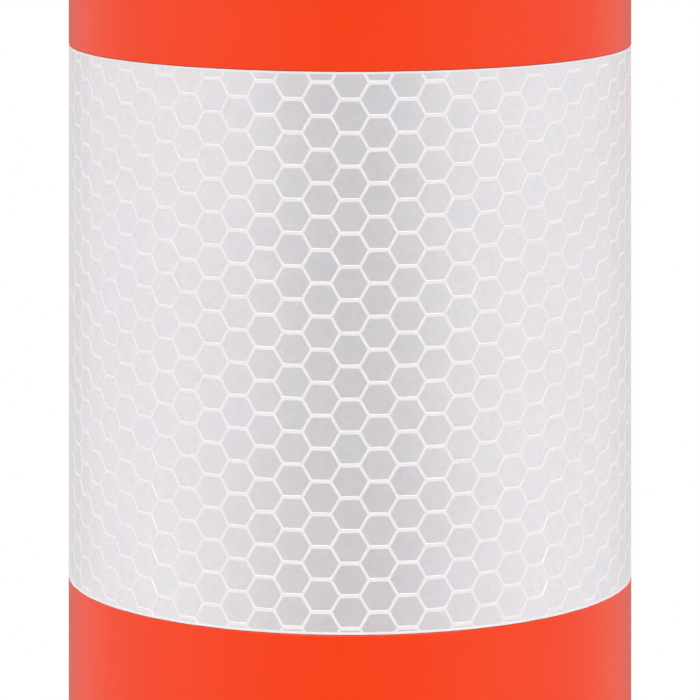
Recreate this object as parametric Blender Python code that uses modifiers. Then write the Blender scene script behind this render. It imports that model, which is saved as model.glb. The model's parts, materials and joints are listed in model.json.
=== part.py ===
"""Spring-base driveway snow marker.

A tapered plastic tube carries three wrapped reflective bands and a screwed-on cap. It
stands on an open coil spring, clamped in two steel sockets, over a bolt-down rubber base.
The origin is the centre of the base's underside. Dimensions are in millimetres and are
turned into metres where meshes are made.
"""

import math

import bmesh
import bpy
from mathutils import Matrix, Vector

MM = 0.001
CLEAR = 0.3
CIRCLE_STEPS = 40
SMALL_STEPS = 12
SHARP_ANGLE = math.radians(35)
OVERSHOOT = 1.0

# Base plate and the anchors' bushes
BASE_R = 120.0
BASE_TOP_R = 78.0
BASE_RIM_Z = 11.0
BASE_SHOULDER_R = 116.0
BASE_SHOULDER_Z = 15.0
BASE_TOP_Z = 28.0
BASE_EDGE = 1.5
DRAIN_R = 12.0
ANCHOR_COUNT = 4
ANCHOR_PLACE_R = 98.0
ANCHOR_HOLE_R = 5.5
BUSH_R = 8.0
BUSH_TOP_Z = 12.0
COUNTERBORE_R = 14.0

# Coil spring
WIRE_R = 4.5
COIL_R = 30.5
DEAD_TURNS = 1.5
DEAD_PITCH = 9.4
ACTIVE_TURNS = 8.0
ACTIVE_PITCH = 19.1
STEPS_PER_TURN = 16
CUT_GAP = 0.4

# Spring sockets
FLANGE_T = 6.0
FLANGE_R = 70.0
CUP_R = 41.0
CUP_BORE_R = 36.0
CUP_DEPTH = 21.5
CORE_R = 25.0
CORE_DEPTH = 18.0
SOCKET_DRAIN_R = 7.0
FILLET = 2.5
UPPER_FLANGE_R = 47.0
SPIGOT_LENGTH = 49.0
SPIGOT_WALL = 4.0

# M8 fasteners of the lower socket, and M8 set screws in both sockets
SOCKET_BOLTS = 4
SOCKET_BOLT_PLACE_R = 57.0
BOLT_R = 4.0
BOLT_HOLE_R = 4.5
BOLT_HEAD_CORNER_R = 7.5
BOLT_HEAD_H = 5.3
BOLT_END_Z = 1.8
WASHER_R = 8.0
WASHER_T = 1.6
NUT_CORNER_R = 7.5
NUT_H = 6.5
NUT_POCKET_CORNER_R = 8.0
NUT_POCKET_DEPTH = 9.0
SET_SCREWS = 3
SET_SCREW_LENGTH = 8.0
SET_SCREW_KEY_R = 2.3
SET_SCREW_KEY_DEPTH = 4.0
SET_SCREW_REACH = 0.45
SET_SCREW_RISE = 14.0
BOLTS_FROM = 45
LOWER_SCREWS_FROM = 90
UPPER_SCREWS_FROM = 30

# Post tube, its bands and its cap
TUBE_TOP_Z = 896.0
TUBE_WALL = 3.0
TOP_BAND_TOP_Z = 845.0
TUBE_R_AT_TOP_BAND = 39.575
TAPER = 0.0101
BAND_HEIGHT = 76.2
BAND_SPACING = 176.2
BAND_COUNT = 3
BAND_T = 0.5
TOTAL_HEIGHT = 914.4
CAP_OVERHANG = 1.5
CAP_RIM_H = 4.0
CAP_WALL = 3.0
CAP_SKIRT = 26.0
DOME_STEPS = 6

# Pan-head screws through the tube
PAN_R = 5.0
PAN_FACE_R = 3.5
PAN_H = 3.0
PAN_SHANK_R = 2.4
PAN_HOLE_R = 2.8
PAN_KEY_R = 2.0
PAN_KEY_DEPTH = 1.6
PAN_TIP_REACH = 1.5
TUBE_SCREWS = 4
TUBE_SCREWS_FROM = 45
TUBE_SCREW_RISE = 24.0
CAP_SCREWS = 3
CAP_SCREWS_FROM = 30
CAP_SCREW_DROP = 13.0
RADIAL_CUT = 14.0

# Heights that follow from the stack
SOCKET_Z = BASE_TOP_Z + CLEAR
SPRING_Z = SOCKET_Z + FLANGE_T + CLEAR
SPRING_LENGTH = 2 * WIRE_R + 2 * DEAD_TURNS * DEAD_PITCH + ACTIVE_TURNS * ACTIVE_PITCH
UPPER_FLOOR_Z = SPRING_Z + SPRING_LENGTH + CLEAR
UPPER_FLANGE_Z = UPPER_FLOOR_Z + FLANGE_T
TUBE_Z = UPPER_FLANGE_Z + CLEAR
LOWER_RIM_Z = SOCKET_Z + FLANGE_T + CUP_DEPTH
UPPER_RIM_Z = UPPER_FLOOR_Z - CUP_DEPTH
EXPOSED = UPPER_RIM_Z - LOWER_RIM_Z
TILT_X_Z = LOWER_RIM_Z + EXPOSED / 4
TILT_Y_Z = UPPER_RIM_Z - EXPOSED / 4


def tube_r(z):
    """The tube's outer radius, which grows evenly towards the ground."""
    return TUBE_R_AT_TOP_BAND + TAPER * (TOP_BAND_TOP_Z - z)


def bore_r(z):
    """The tube's inner radius."""
    return tube_r(z) - TUBE_WALL


def clear_scene():
    for obj in list(bpy.data.objects):
        bpy.data.objects.remove(obj)


def new_collection(name):
    collection = bpy.data.collections.new(name)
    bpy.context.scene.collection.children.link(collection)
    return collection


def new_material(name, colour, roughness, metallic=0.0):
    material = bpy.data.materials.new(name)
    material.use_nodes = True
    shader = material.node_tree.nodes["Principled BSDF"]
    shader.inputs["Base Color"].default_value = (*colour, 1.0)
    shader.inputs["Roughness"].default_value = roughness
    shader.inputs["Metallic"].default_value = metallic
    material.diffuse_color = (*colour, 1.0)
    return material


def upright(angle, radius, z):
    """A place at a polar position, with its +Z up."""
    turn = Matrix.Rotation(angle, 4, "Z")
    return turn @ Matrix.Translation(Vector((radius, 0.0, z)) * MM)


def radial(angle, radius, z):
    """A place at a polar position, with its +Z along the outward radius."""
    return upright(angle, radius, z) @ Matrix.Rotation(math.pi / 2, 4, "Y")


def ring_angles(count, first_deg):
    """Angles evenly round the axis, from the first one."""
    return [math.radians(first_deg) + 2 * math.pi * i / count for i in range(count)]


def hang_on(obj, pivot):
    """Parents an object to the pivot that it turns about, and leaves it where it is."""
    obj.parent = pivot
    obj.matrix_parent_inverse = Matrix.Translation(-pivot.matrix_world.translation)


def add_piece(name, data, material, pivot=None):
    """Links a part's object, and hangs it on its pivot if it has one."""
    obj = bpy.data.objects.new(name, data)
    parts.objects.link(obj)
    obj.data.materials.append(material)
    if pivot:
        hang_on(obj, pivot)
    return obj


def add_cutter(name, mesh):
    obj = bpy.data.objects.new(name, mesh)
    cutters.objects.link(obj)
    obj.hide_render = True
    obj.display_type = "WIRE"
    return obj


def outline_mesh(name, outline, closed):
    """A profile in the XZ plane, from (radius, height) pairs."""
    points = [(r * MM, 0.0, z * MM) for r, z in outline]
    edges = [(i, i + 1) for i in range(len(points) - 1)]
    if closed:
        edges.append((len(points) - 1, 0))
    mesh = bpy.data.meshes.new(name)
    mesh.from_pydata(points, edges, [])
    return mesh


def turn_outline(obj, steps):
    screw = obj.modifiers.new("turn", "SCREW")
    screw.axis = "Z"
    screw.steps = steps
    screw.render_steps = steps
    screw.use_merge_vertices = True
    screw.merge_threshold = 0.00001


def prisms(name, sides, radius, length, places):
    """One closed prism at each place, standing on it along its +Z.

    Half a step of turn keeps its corners off the edges of the turned pieces it cuts.
    """
    half_step = Matrix.Rotation(math.pi / sides, 4, "Z")
    form = bmesh.new()
    for place in places:
        bmesh.ops.create_cone(
            form,
            cap_ends=True,
            segments=sides,
            radius1=radius * MM,
            radius2=radius * MM,
            depth=length * MM,
            matrix=place @ Matrix.Translation((0.0, 0.0, length * MM / 2)) @ half_step,
        )
    mesh = bpy.data.meshes.new(name)
    form.to_mesh(mesh)
    form.free()
    return mesh


def combine(obj, mesh, operation):
    """Adds a Boolean of the object with a cutter mesh."""
    boolean = obj.modifiers.new(mesh.name, "BOOLEAN")
    boolean.operation = operation
    boolean.solver = "EXACT"
    boolean.object = add_cutter(mesh.name, mesh)


def cut_holes(obj, name, radius, length, places, sides=SMALL_STEPS):
    combine(obj, prisms(name, sides, radius, length, places), "DIFFERENCE")


def settle(obj):
    """Makes the modifiers' result the object's own mesh, smooth except at its edges."""
    view = bpy.context.evaluated_depsgraph_get()
    mesh = bpy.data.meshes.new_from_object(obj.evaluated_get(view), depsgraph=view)
    obj.modifiers.clear()
    obj.data = mesh
    mesh.shade_smooth()
    mesh.set_sharp_from_angle(angle=SHARP_ANGLE)


# Base


def make_base_plate(rubber):
    outline = [
        (DRAIN_R, BASE_TOP_Z),
        (BASE_TOP_R, BASE_TOP_Z),
        (BASE_SHOULDER_R, BASE_SHOULDER_Z),
        (BASE_R, BASE_RIM_Z),
        (BASE_R, BASE_EDGE),
        (BASE_R - BASE_EDGE, 0.0),
        (DRAIN_R, 0.0),
    ]
    base = add_piece("base_plate", outline_mesh("base_plate", outline, True), rubber)
    turn_outline(base, CIRCLE_STEPS)
    anchors = ring_angles(ANCHOR_COUNT, 0)
    bolts = ring_angles(SOCKET_BOLTS, BOLTS_FROM)
    bushes = [upright(a, ANCHOR_PLACE_R, -OVERSHOOT) for a in anchors]
    cut_holes(base, "bush_holes", BUSH_R + CLEAR, BASE_TOP_Z, bushes)
    heads = [upright(a, ANCHOR_PLACE_R, BUSH_TOP_Z) for a in anchors]
    cut_holes(base, "counterbores", COUNTERBORE_R, BASE_TOP_Z, heads)
    shanks = [upright(a, SOCKET_BOLT_PLACE_R, -OVERSHOOT) for a in bolts]
    cut_holes(base, "base_bolt_holes", BOLT_HOLE_R, BASE_TOP_Z + 2 * OVERSHOOT, shanks)
    depth = NUT_POCKET_DEPTH + OVERSHOOT
    cut_holes(base, "nut_pockets", NUT_POCKET_CORNER_R, depth, shanks, sides=6)


def make_ring(name, outer_r, inner_r, bottom_z, top_z, place, material):
    """A flat ring such as a washer or a bush."""
    outline = [(outer_r, top_z), (outer_r, bottom_z), (inner_r, bottom_z), (inner_r, top_z)]
    ring = add_piece(name, outline_mesh(name, outline, True), material)
    ring.matrix_world = place
    turn_outline(ring, SMALL_STEPS)


def make_anchor_bushes(steel):
    for i, angle in enumerate(ring_angles(ANCHOR_COUNT, 0), 1):
        place = upright(angle, ANCHOR_PLACE_R, 0.0)
        make_ring(f"anchor_bush_{i}", BUSH_R, ANCHOR_HOLE_R, CLEAR, BUSH_TOP_Z, place, steel)


def make_socket_bolt(name, angle, under_head_z, steel):
    """A hex bolt whose shank runs down through the socket and the base."""
    head_place = upright(angle, SOCKET_BOLT_PLACE_R, under_head_z)
    head = prisms(name, 6, BOLT_HEAD_CORNER_R, BOLT_HEAD_H, [head_place])
    bolt = add_piece(name, head, steel)
    shank_place = upright(angle, SOCKET_BOLT_PLACE_R, BOLT_END_Z)
    length = under_head_z - BOLT_END_Z + BOLT_HEAD_H / 2
    shank = prisms(name + "_shank", SMALL_STEPS, BOLT_R, length, [shank_place])
    combine(bolt, shank, "UNION")


def make_socket_nut(name, angle, steel):
    """A hex nut held in its pocket under the base."""
    bottom_z = NUT_POCKET_DEPTH - CLEAR - NUT_H
    place = upright(angle, SOCKET_BOLT_PLACE_R, bottom_z)
    nut = add_piece(name, prisms(name, 6, NUT_CORNER_R, NUT_H, [place]), steel)
    hole_place = upright(angle, SOCKET_BOLT_PLACE_R, bottom_z - OVERSHOOT)
    cut_holes(nut, name + "_hole", BOLT_R + CLEAR, NUT_H + 2 * OVERSHOOT, [hole_place])


def make_socket_fasteners(steel):
    washer_z = SOCKET_Z + FLANGE_T + CLEAR
    under_head_z = washer_z + WASHER_T + CLEAR
    for i, angle in enumerate(ring_angles(SOCKET_BOLTS, BOLTS_FROM), 1):
        place = upright(angle, SOCKET_BOLT_PLACE_R, washer_z)
        make_ring(f"socket_washer_{i}", WASHER_R, BOLT_HOLE_R, 0.0, WASHER_T, place, steel)
        make_socket_bolt(f"socket_bolt_{i}", angle, under_head_z, steel)
        make_socket_nut(f"socket_nut_{i}", angle, steel)


# Spring and its sockets


def set_screw_places(z, first_deg):
    """Each screw starts just clear of the coil and points outwards."""
    reach = COIL_R + WIRE_R + SET_SCREW_REACH
    return [radial(a, reach, z) for a in ring_angles(SET_SCREWS, first_deg)]


def make_set_screws(prefix, z, first_deg, steel, pivot=None):
    for i, place in enumerate(set_screw_places(z, first_deg), 1):
        name = f"{prefix}_set_screw_{i}"
        shank = prisms(name, SMALL_STEPS, BOLT_R, SET_SCREW_LENGTH, [place])
        screw = add_piece(name, shank, steel, pivot)
        key_start = SET_SCREW_LENGTH - SET_SCREW_KEY_DEPTH
        key_place = place @ Matrix.Translation((0.0, 0.0, key_start * MM))
        cut_holes(screw, name + "_key", SET_SCREW_KEY_R, SET_SCREW_LENGTH, [key_place], sides=6)


def make_lower_socket(steel):
    floor_z = SOCKET_Z + FLANGE_T
    outline = [
        (CUP_R, LOWER_RIM_Z),
        (CUP_R, floor_z + FILLET),
        (CUP_R + FILLET, floor_z),
        (FLANGE_R, floor_z),
        (FLANGE_R, SOCKET_Z),
        (SOCKET_DRAIN_R, SOCKET_Z),
        (SOCKET_DRAIN_R, floor_z + CORE_DEPTH),
        (CORE_R, floor_z + CORE_DEPTH),
        (CORE_R, floor_z),
        (CUP_BORE_R, floor_z),
        (CUP_BORE_R, LOWER_RIM_Z),
    ]
    mesh = outline_mesh("lower_spring_socket", outline, True)
    socket = add_piece("lower_spring_socket", mesh, steel)
    turn_outline(socket, CIRCLE_STEPS)
    angles = ring_angles(SOCKET_BOLTS, BOLTS_FROM)
    bolts = [upright(a, SOCKET_BOLT_PLACE_R, SOCKET_Z - OVERSHOOT) for a in angles]
    cut_holes(socket, "flange_holes", BOLT_HOLE_R, FLANGE_T + 2 * OVERSHOOT, bolts)
    screws = set_screw_places(floor_z + SET_SCREW_RISE, LOWER_SCREWS_FROM)
    cut_holes(socket, "lower_set_screw_holes", BOLT_R + CLEAR, SET_SCREW_LENGTH, screws)


def make_upper_socket(steel, pivot):
    floor_z = UPPER_FLOOR_Z
    top_z = UPPER_FLANGE_Z + SPIGOT_LENGTH
    spigot_top_r = bore_r(top_z) - CLEAR
    spigot_foot_r = bore_r(UPPER_FLANGE_Z) - CLEAR
    outline = [
        (spigot_top_r, top_z),
        (spigot_foot_r, UPPER_FLANGE_Z),
        (UPPER_FLANGE_R, UPPER_FLANGE_Z),
        (UPPER_FLANGE_R, floor_z + FLANGE_T / 3),
        (CUP_R, floor_z - FILLET),
        (CUP_R, UPPER_RIM_Z),
        (CUP_BORE_R, UPPER_RIM_Z),
        (CUP_BORE_R, floor_z),
        (CORE_R, floor_z),
        (CORE_R, floor_z - CORE_DEPTH),
        (SOCKET_DRAIN_R, floor_z - CORE_DEPTH),
        (SOCKET_DRAIN_R, UPPER_FLANGE_Z),
        (spigot_foot_r - SPIGOT_WALL, UPPER_FLANGE_Z),
        (spigot_top_r - SPIGOT_WALL, top_z),
    ]
    mesh = outline_mesh("upper_spring_socket", outline, True)
    socket = add_piece("upper_spring_socket", mesh, steel, pivot)
    turn_outline(socket, CIRCLE_STEPS)
    set_screws = set_screw_places(floor_z - SET_SCREW_RISE, UPPER_SCREWS_FROM)
    cut_holes(socket, "upper_set_screw_holes", BOLT_R + CLEAR, SET_SCREW_LENGTH, set_screws)
    cut_holes(socket, "spigot_holes", PAN_HOLE_R, RADIAL_CUT, tube_screw_places())


def spring_height(turn):
    """The wire's height after so many turns from its lower end."""
    dead = min(turn, DEAD_TURNS) + max(turn - DEAD_TURNS - ACTIVE_TURNS, 0.0)
    active = min(max(turn - DEAD_TURNS, 0.0), ACTIVE_TURNS)
    return SPRING_Z + WIRE_R + dead * DEAD_PITCH + active * ACTIVE_PITCH


def spring_points():
    total = int((2 * DEAD_TURNS + ACTIVE_TURNS) * STEPS_PER_TURN)
    points = []
    for i in range(total + 1):
        turn = i / STEPS_PER_TURN
        angle = 2 * math.pi * turn
        height = spring_height(turn)
        points.append(Vector((COIL_R * math.cos(angle), COIL_R * math.sin(angle), height)))
    return points


def split_line(points, z):
    """Cuts the line in the middle of the step that passes a height, with a small gap."""
    at = next(i for i, p in enumerate(points) if p.z > z)
    before, after = points[at - 1], points[at]
    middle = (before + after) / 2
    half_gap = (after - before).normalized() * CUT_GAP / 2
    return points[:at] + [middle - half_gap], [middle + half_gap] + points[at:]


def make_coils(name, points, steel, pivot=None):
    curve = bpy.data.curves.new(name, "CURVE")
    curve.dimensions = "3D"
    curve.bevel_depth = WIRE_R * MM
    curve.bevel_resolution = 2
    curve.use_fill_caps = True
    spline = curve.splines.new("POLY")
    spline.points.add(len(points) - 1)
    for target, point in zip(spline.points, points):
        target.co = (*(point * MM), 1.0)
    add_piece(name, curve, steel, pivot)


def make_spring(steel, tilt_x, tilt_y):
    """The spring is one wire, here in three lengths that the two tilts can part."""
    lower, rest = split_line(spring_points(), TILT_X_Z)
    middle, upper = split_line(rest, TILT_Y_Z)
    make_coils("spring_lower_coils", lower, steel)
    make_coils("spring_mid_coils", middle, steel, tilt_x)
    make_coils("spring_upper_coils", upper, steel, tilt_y)


# Post


def tube_screw_places():
    """Places inside the spigot's wall, for holes that run outwards through the tube."""
    z = TUBE_Z + TUBE_SCREW_RISE
    start = bore_r(z) - CLEAR - SPIGOT_WALL - 2 * OVERSHOOT
    return [radial(a, start, z) for a in ring_angles(TUBE_SCREWS, TUBE_SCREWS_FROM)]


def cap_screw_places():
    """Places inside the cap's skirt, for holes that run outwards through the tube."""
    z = TUBE_TOP_Z - CAP_SCREW_DROP
    start = bore_r(z) - CLEAR - CAP_WALL - 2 * OVERSHOOT
    return [radial(a, start, z) for a in ring_angles(CAP_SCREWS, CAP_SCREWS_FROM)]


def band_tops():
    """The height of each band's upper edge."""
    return [TOP_BAND_TOP_Z - i * BAND_SPACING for i in range(BAND_COUNT)]


def make_tube(plastic, pivot):
    """A tapered tube with a shallow recess that keeps each band flush."""
    outline = [(tube_r(TUBE_TOP_Z), TUBE_TOP_Z)]
    recess = BAND_T + CLEAR
    for top in band_tops():
        high = top + CLEAR
        low = top - BAND_HEIGHT - CLEAR
        outline.append((tube_r(high), high))
        outline.append((tube_r(high) - recess, high))
        outline.append((tube_r(low) - recess, low))
        outline.append((tube_r(low), low))
    outline.append((tube_r(TUBE_Z), TUBE_Z))
    outline.append((bore_r(TUBE_Z), TUBE_Z))
    outline.append((bore_r(TUBE_TOP_Z), TUBE_TOP_Z))
    tube = add_piece("marker_tube", outline_mesh("marker_tube", outline, True), plastic, pivot)
    turn_outline(tube, CIRCLE_STEPS)
    cut_holes(tube, "tube_foot_holes", PAN_HOLE_R, RADIAL_CUT, tube_screw_places())
    cut_holes(tube, "tube_top_holes", PAN_HOLE_R, RADIAL_CUT, cap_screw_places())


def make_bands(sheeting, pivot):
    names = ("upper_reflective_band", "middle_reflective_band", "lower_reflective_band")
    for name, top in zip(names, band_tops()):
        low = top - BAND_HEIGHT
        outline = [
            (tube_r(top), top),
            (tube_r(low), low),
            (tube_r(low) - BAND_T, low),
            (tube_r(top) - BAND_T, top),
        ]
        band = add_piece(name, outline_mesh(name, outline, True), sheeting, pivot)
        turn_outline(band, CIRCLE_STEPS)


def dome_arc(radius, foot_z, rise):
    """A quarter ellipse from the axis out to its foot."""
    steps = [i * math.pi / 2 / DOME_STEPS for i in range(DOME_STEPS)]
    arc = [(radius * math.sin(a), foot_z + rise * math.cos(a)) for a in steps]
    return arc + [(radius, foot_z)]


def make_cap(plastic, pivot):
    """A domed cap whose skirt plugs the tube's top end."""
    rim_r = tube_r(TUBE_TOP_Z) + CAP_OVERHANG
    rim_z = TUBE_TOP_Z + CLEAR
    shoulder_z = rim_z + CAP_RIM_H
    rise = TOTAL_HEIGHT - shoulder_z
    foot_z = TUBE_TOP_Z - CAP_SKIRT
    skirt_top_r = bore_r(rim_z) - CLEAR
    skirt_foot_r = bore_r(foot_z) - CLEAR
    outline = dome_arc(rim_r, shoulder_z, rise)
    outline.append((rim_r, rim_z))
    outline.append((skirt_top_r, rim_z))
    outline.append((skirt_foot_r, foot_z))
    outline.append((skirt_foot_r - CAP_WALL, foot_z))
    outline += reversed(dome_arc(skirt_top_r - CAP_WALL, shoulder_z, rise - CAP_WALL))
    cap = add_piece("top_cap", outline_mesh("top_cap", outline, False), plastic, pivot)
    turn_outline(cap, CIRCLE_STEPS)
    cut_holes(cap, "cap_skirt_holes", PAN_HOLE_R, RADIAL_CUT, cap_screw_places())


def make_pan_screw(name, angle, z, grip, steel, pivot):
    """A pan-head screw whose head rests on the tube and whose tip ends inside."""
    head_z = PAN_TIP_REACH + grip + CLEAR
    top_z = head_z + PAN_H
    outline = [
        (0.0, top_z),
        (PAN_FACE_R, top_z),
        (PAN_R, head_z + PAN_H / 2),
        (PAN_R, head_z),
        (PAN_SHANK_R, head_z),
        (PAN_SHANK_R, PAN_SHANK_R),
        (0.0, 0.0),
    ]
    screw = add_piece(name, outline_mesh(name, outline, False), steel)
    place = radial(angle, tube_r(z) - grip - PAN_TIP_REACH, z)
    screw.matrix_world = place
    turn_outline(screw, SMALL_STEPS)
    key_place = place @ Matrix.Translation((0.0, 0.0, (top_z - PAN_KEY_DEPTH) * MM))
    cut_holes(screw, name + "_key", PAN_KEY_R, PAN_H, [key_place], sides=6)
    hang_on(screw, pivot)


def make_tube_fasteners(steel, pivot):
    z = TUBE_Z + TUBE_SCREW_RISE
    grip = TUBE_WALL + CLEAR + SPIGOT_WALL
    for i, angle in enumerate(ring_angles(TUBE_SCREWS, TUBE_SCREWS_FROM), 1):
        make_pan_screw(f"tube_screw_{i}", angle, z, grip, steel, pivot)
    z = TUBE_TOP_Z - CAP_SCREW_DROP
    grip = TUBE_WALL + CLEAR + CAP_WALL
    for i, angle in enumerate(ring_angles(CAP_SCREWS, CAP_SCREWS_FROM), 1):
        make_pan_screw(f"cap_screw_{i}", angle, z, grip, steel, pivot)


def make_pivot(name, z, parent=None):
    """An empty on a tilt axis."""
    pivot = bpy.data.objects.new(name, None)
    parts.objects.link(pivot)
    pivot.matrix_world = Matrix.Translation((0.0, 0.0, z * MM))
    if parent:
        hang_on(pivot, parent)
    return pivot


def build_marker():
    rubber = new_material("base_rubber", (0.025, 0.025, 0.027), 0.8)
    zinc = new_material("zinc_plated_steel", (0.60, 0.61, 0.62), 0.38, 1.0)
    galvanised = new_material("galvanised_steel", (0.52, 0.54, 0.55), 0.5, 1.0)
    spring_steel = new_material("spring_steel", (0.09, 0.09, 0.10), 0.45, 0.6)
    orange = new_material("orange_plastic", (0.95, 0.075, 0.02), 0.22)
    sheeting = new_material("reflective_sheeting", (0.78, 0.76, 0.78), 0.35)

    tilt_x = make_pivot("tilt_x_pivot", TILT_X_Z)
    tilt_y = make_pivot("tilt_y_pivot", TILT_Y_Z, tilt_x)

    make_base_plate(rubber)
    make_anchor_bushes(zinc)
    make_lower_socket(galvanised)
    make_socket_fasteners(zinc)
    lower_screw_z = SOCKET_Z + FLANGE_T + SET_SCREW_RISE
    make_set_screws("lower", lower_screw_z, LOWER_SCREWS_FROM, zinc)
    make_spring(spring_steel, tilt_x, tilt_y)
    make_upper_socket(galvanised, tilt_y)
    upper_screw_z = UPPER_FLOOR_Z - SET_SCREW_RISE
    make_set_screws("upper", upper_screw_z, UPPER_SCREWS_FROM, zinc, tilt_y)
    make_tube(orange, tilt_y)
    make_bands(sheeting, tilt_y)
    make_cap(orange, tilt_y)
    make_tube_fasteners(zinc, tilt_y)

    bpy.context.view_layer.update()
    for obj in parts.objects:
        if obj.type == "MESH":
            settle(obj)


clear_scene()
parts = new_collection("driveway_snow_marker")
cutters = new_collection("cutters")
build_marker()
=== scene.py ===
"""Looks of the sprung driveway snow marker.

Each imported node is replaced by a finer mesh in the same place, with a procedural
material. Lengths are in metres; values in millimetres are multiplied by MM.
"""

import json
import math
import random

import bmesh
import bpy
import numpy as np
from mathutils import Matrix, Vector


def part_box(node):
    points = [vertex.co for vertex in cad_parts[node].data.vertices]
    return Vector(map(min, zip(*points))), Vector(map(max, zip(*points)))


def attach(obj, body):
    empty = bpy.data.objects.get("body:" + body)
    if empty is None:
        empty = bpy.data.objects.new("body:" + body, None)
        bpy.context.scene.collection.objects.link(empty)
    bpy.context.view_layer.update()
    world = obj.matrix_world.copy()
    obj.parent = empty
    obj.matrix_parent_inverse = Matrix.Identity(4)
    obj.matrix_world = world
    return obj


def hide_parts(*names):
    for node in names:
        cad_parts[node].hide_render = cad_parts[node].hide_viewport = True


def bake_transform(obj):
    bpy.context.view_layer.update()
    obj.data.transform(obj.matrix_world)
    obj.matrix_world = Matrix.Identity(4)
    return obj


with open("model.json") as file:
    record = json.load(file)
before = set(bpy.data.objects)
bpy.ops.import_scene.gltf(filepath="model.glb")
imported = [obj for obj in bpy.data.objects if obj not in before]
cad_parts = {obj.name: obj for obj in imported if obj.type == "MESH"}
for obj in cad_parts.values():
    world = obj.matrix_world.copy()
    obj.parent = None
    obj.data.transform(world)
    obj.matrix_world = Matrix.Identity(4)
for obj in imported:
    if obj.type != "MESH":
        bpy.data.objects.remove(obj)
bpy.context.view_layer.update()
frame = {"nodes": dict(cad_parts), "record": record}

MM = 0.001
record = frame["record"]
body_of_node = {n: b for b, nodes in record["behaviour"]["bodies"].items() for n in nodes}

# Post: radii and heights read from the frame
BANDS = ("upper_reflective_band", "middle_reflective_band", "lower_reflective_band")
first_low, first_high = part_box(BANDS[0])
last_low, last_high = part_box(BANDS[-1])
tube_low, tube_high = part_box("marker_tube")
cap_low, cap_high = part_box("top_cap")
TAPER = (last_high.x - first_high.x) / (first_low.z - last_low.z)
TUBE_WALL = 3.0 * MM
FILM_T = 0.45 * MM
RECESS_GAP = 0.07 * MM
RECESS_CLEAR = 0.05 * MM
RECESS_CORNER = 0.15 * MM
LIP_R = 0.8 * MM
PLUG_FIT = 0.15 * MM
POST_SEGMENTS = 192

# Cap; a groove is given by its middle radius, half width and depth
CAP_WALL = 3.0 * MM
CAP_RIM_GAP = 0.2 * MM
CAP_RIM_H = 4.3 * MM
CAP_STEPS = 48
CAP_GROOVE = (0.72 * cap_high.x, 0.9 * MM, 0.7 * MM)
CAP_MARK = (4.0 * MM, 0.45 * MM, 0.25 * MM)

# Honeycomb sheeting
CELL_ACROSS = 4.48 * MM
LEVEL_WALL = 0.44 * MM
SLANTED_WALL = 0.27 * MM
CELL_BEVEL = 0.065 * MM
CELL_DEPTH = 0.035 * MM
FIRST_CELL_DROP = 5.92 * MM
FILM_EDGE = 0.34 * MM
FILM_OVERLAP = 9.0 * MM
OVERLAP_RAMP = 2.5 * MM
OVERLAP_RISE = 1.05 * FILM_T
NEAR = 0.005 * MM
FINISHES = ("wall", "cell", "slope")
WALL, CELL, SLOPE = range(3)
BAND_SEED = 11

# Where the sheeting's pink and lavender drifts lie in their noise
BLUSH_OFFSET = (0.31, 0.0, 0.07)
COOL_OFFSET = (0.0, 0.23, 0.0)

# Spring, from its foot and the coil's turns
coil_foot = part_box("spring_lower_coils")[0].z
WIRE_R = 4.5 * MM
COIL_R = 30.5 * MM
DEAD_TURNS = 1.5
ACTIVE_TURNS = 8.0
DEAD_PITCH = 9.4 * MM
ACTIVE_PITCH = 19.1 * MM
RINGS_PER_TURN = 48
WIRE_SIDES = 20

# Sockets
lower_socket_low, lower_socket_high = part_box("lower_spring_socket")
upper_socket_low, upper_socket_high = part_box("upper_spring_socket")
FLANGE_T = 6.0 * MM
CUP_R = 41.0 * MM
CUP_BORE_R = 36.0 * MM
CUP_DEPTH = 21.5 * MM
CORE_R = 25.0 * MM
CORE_DEPTH = 18.0 * MM
DRAIN_R = 7.0 * MM
WELD_R = 2.6 * MM
WELD_WAIST = 0.35 * WELD_R
WELD_REACH = 1.3 * WELD_R
WELD_SWELL = 0.6 * MM
WELD_RIPPLES = 96
SPIGOT_WALL = 4.0 * MM
SOCKET_SEGMENTS = 576

# Base
base_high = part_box("base_plate")[1]
BASE_TOP_R = 78.0 * MM
BASE_SHOULDER_R = 116.0 * MM
BASE_SHOULDER_Z = 15.0 * MM
BASE_RIM_Z = 11.0 * MM
BASE_DRAIN_R = 12.0 * MM
BUSH_R = 8.0 * MM
BUSH_BORE_R = 5.5 * MM
BUSH_SEAT_R = 8.15 * MM
BUSH_TOP_Z = 12.0 * MM
COUNTERBORE_R = 14.0 * MM
COUNTERBORE_FLARE = 3.0 * MM
COUNTERBORE_STRAIGHT_H = 9.0 * MM
NUT_POCKET_DEPTH = 9.0 * MM
NUT_POCKET_R = 8.0 * MM
BASE_SEGMENTS = 240
RIDGE_RADII = (83.0 * MM, 88.0 * MM, 108.0 * MM)
RIDGE_FOOT = 1.9 * MM
RIDGE_TOP = 1.1 * MM
RIDGE_LIFT = 1.3 * MM

# M8 fasteners and pan-head screws
M8_R = 4.0 * MM
M8_HOLE_R = 4.5 * MM
M8_THREAD = 1.25 * MM
M8_THREAD_DEPTH = 0.55 * MM
M8_TIP_R = M8_R - M8_THREAD_DEPTH - 0.3 * MM
M8_HEX_CORNER_R = 7.5 * MM
M8_HEX_FACE = 0.985
M8_HEAD_H = 5.3 * MM
M8_COLLAR_R = 6.2 * MM
M8_THREADED = 16.0 * MM
M8_WASHER_R = 8.0 * MM
M8_KEY_R = 2.3 * MM
M8_KEY_DEPTH = 4.0 * MM
NUT_FIT = 0.15 * MM
SET_SCREW_FIT = 0.1 * MM
PAN_HEAD_R = 5.0 * MM
PAN_HEAD_H = 3.0 * MM
PAN_SHANK_R = 2.4 * MM
CROSS_LENGTH = 5.0 * MM
CROSS_WIDTH = 1.05 * MM
CROSS_DEPTH = 1.9 * MM
CROSS_TAPER = 0.62
TUBE_HOLE_R = 2.8 * MM
SPIGOT_HOLE_R = 2.6 * MM

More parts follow.
